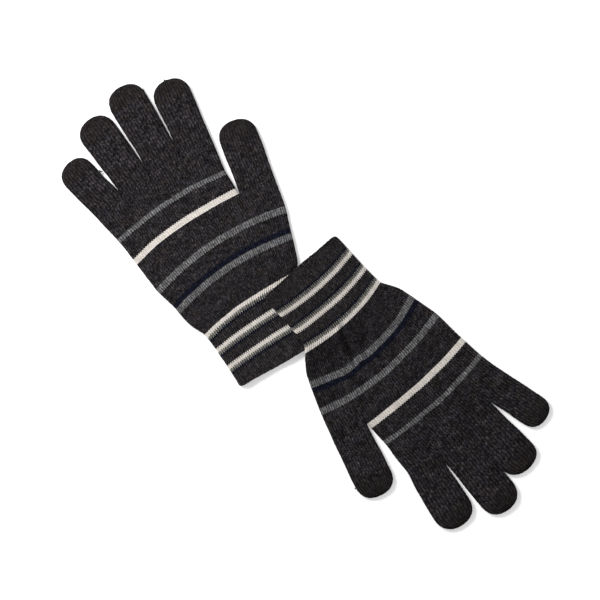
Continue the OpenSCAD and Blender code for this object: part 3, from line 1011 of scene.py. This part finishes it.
@dataclass
class Cuff:
    """Ribbed cuff with three lines of cream, grey and navy.

    Attributes:
        plan: The glove it belongs to.
        length: From the wrist to the hem.
        pitch: From one group of lines to the next.
        cream: Width of a cream line.
        grey: Width of a grey line.
        navy: Width of a navy line.
        wales: Columns of stitches on one face.
        corner: Radius of the hem's two corners.
        flare: Height below the wrist over which it thickens into the hand.
        top_course: Course number at the wrist, once the cuff is knitted.
    """

    plan: GlovePlan
    length: float = 49.0
    pitch: float = 15.5
    cream: float = 3.1
    grey: float = 2.3
    navy: float = 1.8
    wales: int = 92
    corner: float = 3.0
    flare: float = 12.0
    top_course: float = field(default=0.0, init=False)

    def build(self, wardrobe: Wardrobe) -> list[bpy.types.Object]:
        """Knits the cuff and cuts it into its pieces.

        Args:
            wardrobe: Where the yarns come from.

        Returns:
            The pieces.
        """
        marks, names = [self._hem()], []
        for group in (2, 1, 0):
            top = self.plan.cuff_top - group * self.pitch
            for down in (self.cream + self.grey + self.navy, self.cream + self.grey, self.cream, 0):
                marks.append(self.plan.course(top - down, self.plan.cuff_drop[group]))
            names += ["cuff_hem" if group == 2 else "cuff_rib_bands", "cuff_navy_stripes",
                      "cuff_grey_stripes", "cuff_cream_stripes"]
        courses, cuts = [], [0]
        for low, high, name in zip(marks, marks[1:], names):
            steps = rows_for(float(np.abs(high[:, 1] - low[:, 1]).mean()))
            for step in range(0 if not courses else 1, steps + 1):
                courses.append(self._course(low, high, step / steps))
            cuts.append(len(courses) - 1)
        first_course = YARN_SHIFT * self.plan.seed
        cloth = Cloth(self.plan, courses, self.wales, Knit.RIB, first_course)
        self.top_course = first_course + cuts[-1] / ROWS
        spans: dict[str, list[tuple[int, int]]] = {}
        for name, a, b in zip(names, cuts, cuts[1:]):
            spans.setdefault(name, []).append((a, b))
        yarns = {"cuff_hem": Yarn.CHARCOAL, "cuff_rib_bands": Yarn.CHARCOAL,
                 "cuff_navy_stripes": Yarn.NAVY, "cuff_grey_stripes": Yarn.GREY,
                 "cuff_cream_stripes": Yarn.CREAM}
        pieces = []
        for name, rings in spans.items():
            piece = cloth.mesh(f"{self.plan.side.value}_{name}_cloth", rings,
                               lip=HEM_LIP if name == "cuff_hem" else 0)
            wardrobe.dress(piece, yarns[name], Knit.RIB)
            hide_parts(f"{self.plan.side.value}_{name}")
            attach(piece, f"{self.plan.side.value}_hand")
            pieces.append(piece)
        return pieces

    def _hem(self) -> np.ndarray:
        """The hem's first course, which runs a little askew.

        Returns:
            Its plan points.
        """
        line = self.plan.course(-self.length)
        f = (line[:, 0] - line[0, 0]) / (line[-1, 0] - line[0, 0])
        line[:, 1] += self.plan.hem_skew[0] * (1 - f) + self.plan.hem_skew[1] * f
        return line

    def _course(self, low: np.ndarray, high: np.ndarray, share: float) -> Course:
        """One course of the cuff, between two lines and on the cuff's outline.

        Args:
            low: Line below it.
            high: Line above it.
            share: How far it is from the lower line to the upper one, from 0 to 1.

        Returns:
            The course.
        """
        line = low * (1 - share) + high * share
        y = float(line[:, 1].mean())
        height = CUFF_HEIGHT + (CLOTH_HEIGHT - CUFF_HEIGHT) * float(ramp(y, -self.flare, 0))
        line = self._fit(line)
        above = y - float(self._hem()[:, 1].mean())
        cut = self.corner * (1 - float(quarter_round(above / self.corner)))
        if cut > 0.01:
            width = np.hypot(*(line[-1] - line[0]))
            along = (line[-1] - line[0]) / width
            kept = 1 - 2 * cut / width
            line = line + np.outer((line - line.mean(0)) @ along * (kept - 1), along)
        return Course(line, height, CUFF_ROUND)

    def _fit(self, line: np.ndarray) -> np.ndarray:
        """Stretches a line sideways so that it ends on the glove's outline.

        Args:
            line: Plan points from the little side to the thumb side.

        Returns:
            The stretched line.
        """
        left, right = self.plan.little_edge(line[0, 1]), self.plan.thumb_edge(line[-1, 1])
        f = (line[:, 0] - line[0, 0]) / (line[-1, 0] - line[0, 0])
        return np.stack([left + f * (right - left), line[:, 1]], 1)


@dataclass(frozen=True)
class Band:
    """A band of the hand between two courses.

    Attributes:
        name: Name of the CAD node it stands for.
        yarn: Its yarn.
        low: Height of the middle of its first course.
        high: Height of the middle of its last course.
        low_drop: Fall of the first course to both sides.
        high_drop: Fall of the last course to both sides.
    """

    name: str
    yarn: Yarn
    low: float
    high: float
    low_drop: tuple[float, float]
    high_drop: tuple[float, float]


def stack_bands(names: tuple[tuple[str, Yarn], ...], edges: tuple[float, ...],
                drops: tuple[tuple[float, float], ...]) -> tuple[Band, ...]:
    """Bands of the hand that lie one above the other.

    Args:
        names: Name and yarn of each band.
        edges: Heights of their edges in the middle of the hand, one more than there are bands.
        drops: Fall of each edge to both sides.

    Returns:
        The bands, lowest first.
    """
    return tuple(Band(*names[i], edges[i], edges[i + 1], drops[i], drops[i + 1])
                 for i in range(len(names)))


def low_bands(plan: GlovePlan) -> tuple[Band, ...]:
    """Bands of the hand from the wrist up to the middle grey stripe.

    Args:
        plan: The glove.

    Returns:
        The bands, lowest first.
    """
    (lower, drop), (middle, middle_drop) = plan.stripes[:2]
    return stack_bands(
        (("wrist_panel", Yarn.CHARCOAL), ("lower_grey_stripe", Yarn.GREY),
         ("navy_stripe", Yarn.NAVY), ("palm_panel", Yarn.CHARCOAL),
         ("middle_grey_stripe", Yarn.GREY)),
        (plan.cuff_top, lower - GREY_HALF, lower + GREY_HALF, lower + NAVY_TOP,
         middle - GREY_HALF, middle + GREY_HALF),
        (plan.cuff_drop[0], drop, drop, drop, middle_drop, middle_drop))


def high_bands(plan: GlovePlan) -> tuple[Band, ...]:
    """Bands of the hand from the cream stripe up to the upper grey stripe.

    Args:
        plan: The glove.

    Returns:
        The bands, lowest first.
    """
    (cream, drop), (upper, upper_drop) = plan.stripes[2:]
    return stack_bands(
        (("cream_stripe", Yarn.CREAM), ("knuckle_panel", Yarn.CHARCOAL),
         ("upper_grey_stripe", Yarn.GREY)),
        (cream - CREAM_HALF, cream + CREAM_HALF, upper - UPPER_HALF, upper + UPPER_HALF),
        (drop, drop, upper_drop, upper_drop))


@dataclass
class Hand:
    """The hand of a glove, from the wrist to the roots of the fingers.

    Attributes:
        plan: The glove it belongs to.
        thumb_wales: Columns of stitches on one face of the thumb.
        finger_wales: The same for little, ring, middle and index finger.
        fork_reach: Height over which a fork between two digits is drawn in.
        feet: The two ends of the line on which each digit grows, once the hand is knitted.
        courses: Course number at which each digit starts.
    """

    plan: GlovePlan
    thumb_wales: int = 15
    finger_wales: tuple[int, ...] = (12, 12, 13, 13)
    fork_reach: float = 9.0
    feet: dict[str, tuple[np.ndarray, np.ndarray]] = field(default_factory=dict, init=False)
    courses: dict[str, float] = field(default_factory=dict, init=False)

    def build(self, wardrobe: Wardrobe, first_course: float) -> list[bpy.types.Object]:
        """Knits the hand and cuts it into its pieces.

        Args:
            wardrobe: Where the yarns come from.
            first_course: Course number at the wrist.

        Returns:
            The pieces.
        """
        above = sum(self.finger_wales)
        lower, upper = low_bands(self.plan), high_bands(self.plan)
        low, low_cuts = self._rows(lower, False)
        cream = self.plan.course(upper[0].low, upper[0].low_drop, True)
        thumb_end = self.plan.digits[0].root_line()[1]
        top = resample(np.concatenate([cream[:-1:8], cream[-1:], thumb_end[None]]))
        self._branch(low, low_cuts, top, [cream[-1]], (above, self.thumb_wales))
        pieces = self._cut(low, low_cuts, lower, "thumb_base_panel", above + self.thumb_wales,
                           wardrobe, first_course)
        first_course += (len(low) - 1) / ROWS
        self.feet["thumb"] = (cream[-1], thumb_end)
        self.courses["thumb"] = first_course
        high, high_cuts = self._rows(upper, True)
        lines = [d.root_line() for d in self.plan.digits[:0:-1]]
        forks = [(a[1] + b[0]) / 2 for a, b in zip(lines, lines[1:])]
        ends = [lines[0][0], *forks, lines[-1][1]]
        self._branch(high, high_cuts, resample(np.array(ends)), forks, self.finger_wales)
        pieces += self._cut(high, high_cuts, upper, "finger_base_panel", above, wardrobe,
                            first_course)
        for digit, foot in zip(self.plan.digits[:0:-1], zip(ends, ends[1:])):
            self.feet[digit.name] = foot
            self.courses[digit.name] = first_course + (len(high) - 1) / ROWS
        return pieces

    def wales_of(self, digit: str) -> int:
        """Columns of stitches on one face of a digit."""
        names = [d.name for d in self.plan.digits[:0:-1]]
        return self.thumb_wales if digit == "thumb" else self.finger_wales[names.index(digit)]

    def _rows(self, bands: tuple[Band, ...], above_thumb: bool) -> tuple[list[Course], list[int]]:
        """Courses of some bands that lie one above the other.

        Args:
            bands: The bands, lowest first.
            above_thumb: True where the thumb has already branched off.

        Returns:
            The courses, and the row at which each band starts and the last one ends.
        """
        courses, cuts = [], [0]
        for band in bands:
            steps = rows_for(band.high - band.low)
            for step in range(0 if not courses else 1, steps + 1):
                f = step / steps
                g = float(ramp(f, 0, 1)) if band.name == "wrist_panel" else f
                drop = tuple(a + (b - a) * g for a, b in zip(band.low_drop, band.high_drop))
                y = band.low + (band.high - band.low) * f
                courses.append(Course(self.plan.course(y, drop, above_thumb), CLOTH_HEIGHT))
            cuts.append(len(courses) - 1)
        return courses, cuts

    def _branch(self, courses: list[Course], cuts: list[int], top: np.ndarray,
                forks: list[np.ndarray], parts: tuple[int, ...]) -> None:
        """Adds the courses up to a line where digits branch off, drawn in at the forks.

        Args:
            courses: Courses so far, to which the new ones are added.
            cuts: Rows at which the bands end, to which the new one is added.
            top: The line where the digits branch off.
            forks: Plan points between two digits.
            parts: Wales of each digit.
        """
        foot = courses[-1].line
        gap = float(np.abs(top[:, 1] - foot[:, 1]).mean())
        steps = rows_for(gap)
        nearest = [np.hypot(*(top - fork).T).argmin() for fork in forks]
        for place, fork in zip(nearest, forks):
            top[place] = fork
        for step in range(1, steps + 1):
            f = step / steps
            line = foot * (1 - f) + top * f
            depth = float(ramp((1 - f) * gap, self.fork_reach, 0)) ** 1.5
            pulled = tuple((line[place], depth) for place in nearest)
            courses.append(Course(line, CLOTH_HEIGHT, EDGE_ROUND, pulled, parts,
                                  float(ramp(f, 0, 1))))
        cuts.append(len(courses) - 1)

    def _cut(self, courses: list[Course], cuts: list[int], bands: tuple[Band, ...], base: str,
             wales: int, wardrobe: Wardrobe, first_course: float) -> list[bpy.types.Object]:
        """Knits the courses and makes one piece for each band.

        Args:
            courses: All the courses.
            cuts: Rows at which the pieces start and end.
            bands: The bands, lowest first.
            base: Name of the charcoal piece above them, in which digits branch off.
            wales: Columns of stitches on one face.
            wardrobe: Where the yarns come from.
            first_course: Course number of the first row.

        Returns:
            The pieces.
        """
        cloth = Cloth(self.plan, courses, wales, Knit.PLAIN, first_course)
        side = self.plan.side.value
        names = [(band.name, band.yarn) for band in bands] + [(base, Yarn.CHARCOAL)]
        pieces = []
        for (name, yarn), a, b in zip(names, cuts, cuts[1:]):
            piece = cloth.mesh(f"{side}_{name}_cloth", [(a, b)])
            wardrobe.dress(piece, yarn, Knit.PLAIN)
            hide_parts(f"{side}_{name}")
            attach(piece, f"{side}_hand")
            pieces.append(piece)
        return pieces


@dataclass
class Finger:
    """A finger or thumb: a tube and its darker closed tip.

    Attributes:
        plan: The glove it belongs to.
        digit: Its own plan.
        foot: The two ends of the line on which it grows out of the hand, little side first.
        wales: Columns of stitches on one face.
        tip_length: Length of the darker tip.
        squareness: How square the end is; 2 is round.
        slack: Length at the root; the point there is found but not used.
        bend: Length after that; the point there is found but not used.
        tip_bend: Length into the tip; the point there is found but not used.
        hug: Lengths at which the lean against a neighbour is full, starts to fade and is gone.
        press_over: Length over which the press grows to its full size.
        turn_in: Length over which the courses turn from the foot to square.
        fill: Lengths between which the tube grows to its full height.
        crown: How much wider its rounding is at that height.
        flatness: How much lower the end is at its point.
    """

    plan: GlovePlan
    digit: DigitPlan
    foot: tuple[np.ndarray, np.ndarray]
    wales: int
    tip_length: float = 14.0
    squareness: float = 2.3
    slack: float = 1.2
    bend: float = 14.0
    tip_bend: float = 7.0
    hug: tuple[float, float, float] = (2.5, 8.0, 19.0)
    press_over: float = 16.0
    turn_in: float = 9.0
    fill: tuple[float, float] = (2.0, 22.0)
    crown: float = 3.2
    flatness: float = 0.42

    def build(self, wardrobe: Wardrobe, first_course: float) -> list[bpy.types.Object]:
        """Knits the digit and cuts it into tube and tip.

        Args:
            wardrobe: Where the yarns come from.
            first_course: Course number at the root.

        Returns:
            The tube and the tip.
        """
        d, side = self.digit, self.plan.side.value
        tip_start = d.reach + d.tip_half - self.tip_length
        rows = rows_for(tip_start)
        courses = [self._course(tip_start * step / rows) for step in range(rows + 1)]
        courses += self._tip_courses(tip_start)
        cloth = Cloth(self.plan, courses, self.wales, Knit.PLAIN, first_course)
        name = f"{side}_{d.name}" + ("" if d.name == "thumb" else "_finger")
        tube = cloth.mesh(f"{name}_cloth", [(0, rows)])
        wardrobe.dress(tube, Yarn.CHARCOAL, Knit.PLAIN)
        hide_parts(name)
        self._at(self.slack)
        self._at(self.slack + self.bend)
        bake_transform(tube)
        tip = cloth.mesh(f"{side}_{d.name}_tip_cloth", [(rows, len(courses) - 1)], cap=True)
        wardrobe.dress(tip, Yarn.TIP, Knit.PLAIN)
        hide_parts(f"{side}_{d.name}_tip")
        self._at(tip_start)
        self._at(tip_start + self.tip_bend)
        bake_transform(tip)
        return [tube, tip]

    def _at(self, s: float) -> list[float]:
        """Point of the shared frame at length s along the digit."""
        return list(self.plan.to_frame(np.array([*self.digit.point(s), 0.0])))

    def _course(self, s: float, half: float | None = None, height: float | None = None) -> Course:
        """One course across the digit; the first ones turn from its foot to square.

        Args:
            s: Length along the digit.
            half: Half of its width there, if not the digit's own.
            height: Height of the tube there, if not the digit's own.

        Returns:
            The course.
        """
        d = self.digit
        full = d.root_half + (d.tip_half - d.root_half) * float(ramp(s / d.reach, -0.05, 1.0))
        half = full if half is None else half
        full_hug, fading, gone = self.hug
        lean = SNUG * float(ramp(s, 0, full_hug) * ramp(s, gone, fading))
        press = min(1.0, half / full) * float(ramp(s, d.press_from, d.press_from + self.press_over))
        low = lean * (d.name in ("index", "middle", "ring")) + press * d.press[0]
        high = lean * (d.name in ("little", "ring", "middle")) + press * d.press[1]
        square = np.array([d.point(s, -half - low), d.point(s, half + high)])
        grown = np.array(self.foot) + d.along * s + np.outer([-low, high], d.across)
        turned = float(ramp(s, 0, self.turn_in))
        puff = float(ramp(s, *self.fill))
        if height is None:
            height = CLOTH_HEIGHT + (FINGER_HEIGHT - CLOTH_HEIGHT) * puff
        line = resample(grown * (1 - turned) + square * turned)
        return Course(line, height, min(EDGE_ROUND + self.crown * puff, half))

    def _tip_courses(self, start: float) -> list[Course]:
        """Courses of the closed end, narrower and flatter towards the point.

        Args:
            start: Length along the digit at which the tip starts.

        Returns:
            The courses after the one at the start.
        """
        d = self.digit
        power = 2 / self.squareness
        base = max(d.reach, start)
        made = []
        lead = rows_for(base - start) if base - start > 0.3 else 0
        for step in range(1, lead + 1):
            made.append(self._course(start + (base - start) * step / lead))
        swing = np.concatenate([np.linspace(0, 68, 25)[1:], np.linspace(68, 88.5, 12)[1:]])
        for angle in np.radians(swing):
            s = base + d.tip_half * math.sin(angle) ** power
            half = max(d.tip_half * math.cos(angle) ** power, 0.5)
            flat = 1 - self.flatness * math.sin(angle) ** 6
            made.append(self._course(s, half, FINGER_HEIGHT * flat))
        return made


# Yarn ends at the fingertips: digit, place where they leave the cloth, and length.
TUFTS = {Side.LEFT: (("index", (35.1, 167.4), 1.7), ("little", (-38.8, 137.1), 2.0),
                     ("middle", (18.4, 169.6), 2.0), ("index", (46.2, 153.2), 2.0),
                     ("ring", (-13.2, 162.6), 2.0)),
         Side.RIGHT: (("thumb", (74.6, 97.6), 2.6), ("middle", (2.6, 181.2), 2.4),
                      ("middle", (14.2, 169.0), 2.0), ("index", (45.2, 158.6), 2.0))}


@dataclass
class YarnEnds:
    """A few short yarn ends that were left where a fingertip was closed.

    Attributes:
        plan: The glove they are on.
        digit: The digit they are on.
        place: Where they leave the cloth, in the glove's plane.
        length: Length of the longest one.
        count: How many there are.
        thickness: Thickness of one at its root.
        sides: Corners of one across its thickness.
        steps: Rings of points along one.
    """

    plan: GlovePlan
    digit: DigitPlan
    place: tuple[float, float]
    length: float
    count: int = 7
    thickness: float = 0.7
    sides: int = 5
    steps: int = 5

    def build(self, wardrobe: Wardrobe, number: int) -> bpy.types.Object:
        """Makes the yarn ends as one piece on the fingertip.

        Args:
            wardrobe: Where the yarns come from.
            number: Number that tells this tuft from the glove's others.

        Returns:
            The piece.
        """
        rng = np.random.default_rng(1000 * self.plan.seed + number)
        inside = np.array(self.digit.point(self.digit.reach - 2.0, 0.0))
        out = np.array(self.place) - inside
        out /= np.hypot(*out)
        points, quads, tris = [], [], []
        for _ in range(self.count):
            lean = rng.normal(0, 0.45)
            way = np.array([out[0] * math.cos(lean) - out[1] * math.sin(lean),
                            out[0] * math.sin(lean) + out[1] * math.cos(lean)])
            root = np.array(self.place) - out * 1.2 + rng.normal(0, 0.35, 2)
            self._strand(rng, root, way, points, quads, tris)
        local = np.array(points)
        uv = local[np.concatenate([np.ravel(quads), np.ravel(tris)]).astype(int)][:, :2]
        side = self.plan.side.value
        piece = build_object(f"{side}_{self.digit.name}_yarn_ends_{number}",
                             self.plan.to_frame(local), np.array(quads), np.array(tris), uv)
        wardrobe.dress(piece, Yarn.TIP, Knit.PLAIN)
        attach(piece, f"{side}_{self.digit.name}_end")
        return piece

    def _strand(self, rng: np.random.Generator, root: np.ndarray, way: np.ndarray,
                points: list[list[float]], quads: list[list[int]],
                tris: list[list[int]]) -> None:
        """Adds one curved yarn end that narrows to a point.

        Args:
            rng: Source of the random draws.
            root: Where it starts, in the glove's plane.
            way: Unit vector along it.
            points: Points so far, to which its own are added.
            quads: Four-cornered faces so far.
            tris: Three-cornered faces so far.
        """
        sides, steps = self.sides, self.steps
        length = self.length * rng.uniform(0.6, 1.0)
        bow = rng.normal(0, 0.25) * length
        rise = rng.uniform(-0.25, 0.35) * length
        across = np.array([-way[1], way[0]])
        first = len(points)
        for step in range(steps):
            f = step / steps
            middle = root + way * length * f + across * bow * f * f
            radius = self.thickness / 2 * (1 - 0.7 * f)
            for side in range(sides):
                turn = math.tau * side / sides
                flat = middle + across * radius * math.cos(turn)
                points.append([*flat, FINGER_HEIGHT * 0.45 + rise * f + radius * math.sin(turn)])
        points.append([*(root + way * length + across * bow), FINGER_HEIGHT * 0.45 + rise])
        for step in range(steps - 1):
            for side in range(sides):
                a = first + step * sides + side
                b = first + step * sides + (side + 1) % sides
                quads.append([a, b, b + sides, a + sides])
        last = first + (steps - 1) * sides
        for side in range(sides):
            tris.append([last + side, last + (side + 1) % sides, last + sides])
        for side in range(1, sides - 1):
            tris.append([first, first + side + 1, first + side])


@dataclass
class Glove:
    """One whole glove.

    Attributes:
        plan: Its outline, stripes and place.
    """

    plan: GlovePlan

    def build(self, wardrobe: Wardrobe) -> None:
        """Builds cuff, hand, digits and yarn ends, and reports the pieces.

        Args:
            wardrobe: Where the yarns come from.
        """
        cuff = Cuff(self.plan)
        pieces = cuff.build(wardrobe)
        hand = Hand(self.plan)
        pieces += hand.build(wardrobe, cuff.top_course)
        for digit in self.plan.digits:
            finger = Finger(self.plan, digit, hand.feet[digit.name], hand.wales_of(digit.name))
            pieces += finger.build(wardrobe, hand.courses[digit.name])
        digits = {digit.name: digit for digit in self.plan.digits}
        for number, (name, place, length) in enumerate(TUFTS[self.plan.side]):
            ends = YarnEnds(self.plan, digits[name], place, length)
            pieces.append(ends.build(wardrobe, number))
        for piece in pieces:
            LOG.info("%s: %d points", piece.name, len(piece.data.vertices))


@dataclass
class Studio:
    """Pale floor, soft light from the upper left and a camera straight above.

    Attributes:
        look_at: Middle of the view in millimetres.
        roll: Turn of the view in degrees.
        view_width: Width of the view in millimetres.
        height: Height of the camera in metres.
        cloth_middle: Height of the middle of the cloth, where the view has its width.
        key_place: Place of the key lamp, right of and above the view's middle and up, in metres.
        key_size: Width of the key lamp in metres.
        key_power: Its power in watts.
        surround: Strength of the even light from all around.
    """

    look_at: tuple[float, float] = (-6.115, 5.083)
    roll: float = -37.0
    view_width: float = 432.0
    height: float = 1.6
    cloth_middle: float = 0.004
    key_place: tuple[float, float, float] = (-0.60, 0.52, 0.85)
    key_size: float = 0.45
    key_power: float = 12.2
    surround: float = 0.49

    def to_frame(self, right: float, up: float, z: float) -> tuple[float, float, float]:
        """Point of the shared frame, from its place in the view.

        Args:
            right: Metres to the right of the view's middle.
            up: Metres above it.
            z: Height over the floor in metres.

        Returns:
            The point.
        """
        a = math.radians(self.roll)
        return (self.look_at[0] * MM + right * math.cos(a) - up * math.sin(a),
                self.look_at[1] * MM + right * math.sin(a) + up * math.cos(a), z)

    def build(self) -> None:
        """Makes floor, lights, world and camera."""
        self._floor()
        self._lights()
        self._camera()
        bpy.context.scene.view_settings.view_transform = "Standard"

    def _floor(self) -> None:
        """A large pale floor under the gloves."""
        mesh = bpy.data.meshes.new("floor")
        mesh.from_pydata([(-3, -3, 0), (3, -3, 0), (3, 3, 0), (-3, 3, 0)], [], [(0, 1, 2, 3)])
        floor = bpy.data.objects.new("floor", mesh)
        bpy.context.scene.collection.objects.link(floor)
        made = bpy.data.materials.new("floor paint")
        made.use_nodes = True
        shader = made.node_tree.nodes["Principled BSDF"]
        shader.inputs["Base Color"].default_value = (0.9, 0.9, 0.9, 1)
        shader.inputs["Emission Color"].default_value = (1, 1, 1, 1)
        shader.inputs["Emission Strength"].default_value = 0.33
        shader.inputs["Roughness"].default_value = 1.0
        shader.inputs["Specular IOR Level"].default_value = 0.0
        mesh.materials.append(made)

    def _lights(self) -> None:
        """A wide soft key from the upper left and an even pale surround."""
        world = bpy.data.worlds.new("surround")
        world.use_nodes = True
        world.node_tree.nodes["Background"].inputs[0].default_value = (1.0, 1.0, 1.0, 1)
        world.node_tree.nodes["Background"].inputs[1].default_value = self.surround
        bpy.context.scene.world = world
        light = bpy.data.lights.new("key", "AREA")
        light.shape, light.size, light.energy = "DISK", self.key_size, self.key_power
        key = bpy.data.objects.new("key", light)
        key.visible_camera = False
        key.location = self.to_frame(*self.key_place)
        aim = np.subtract(self.to_frame(-0.02, 0.02, 0.0), key.location)
        key.rotation_euler = Vector(aim).to_track_quat("-Z", "Y").to_euler()
        bpy.context.scene.collection.objects.link(key)

    def _camera(self) -> None:
        """A long lens straight above, turned as the view is."""
        data = bpy.data.cameras.new("camera")
        data.sensor_width = 36.0
        distance = self.height - self.cloth_middle
        data.lens = data.sensor_width * distance / (self.view_width * MM)
        camera = bpy.data.objects.new("camera", data)
        camera.location = self.to_frame(0, 0, self.height)
        camera.rotation_euler = (0, 0, math.radians(self.roll))
        bpy.context.scene.collection.objects.link(camera)
        bpy.context.scene.camera = camera


def main() -> None:
    """Builds the studio and both gloves."""
    logging.basicConfig(level=logging.INFO, format="%(message)s")
    Studio().build()
    effects = KnitEffects()
    for plan in (LEFT, RIGHT):
        Glove(plan).build(Wardrobe(plan, effects))


if __name__ == "__main__":
    main()
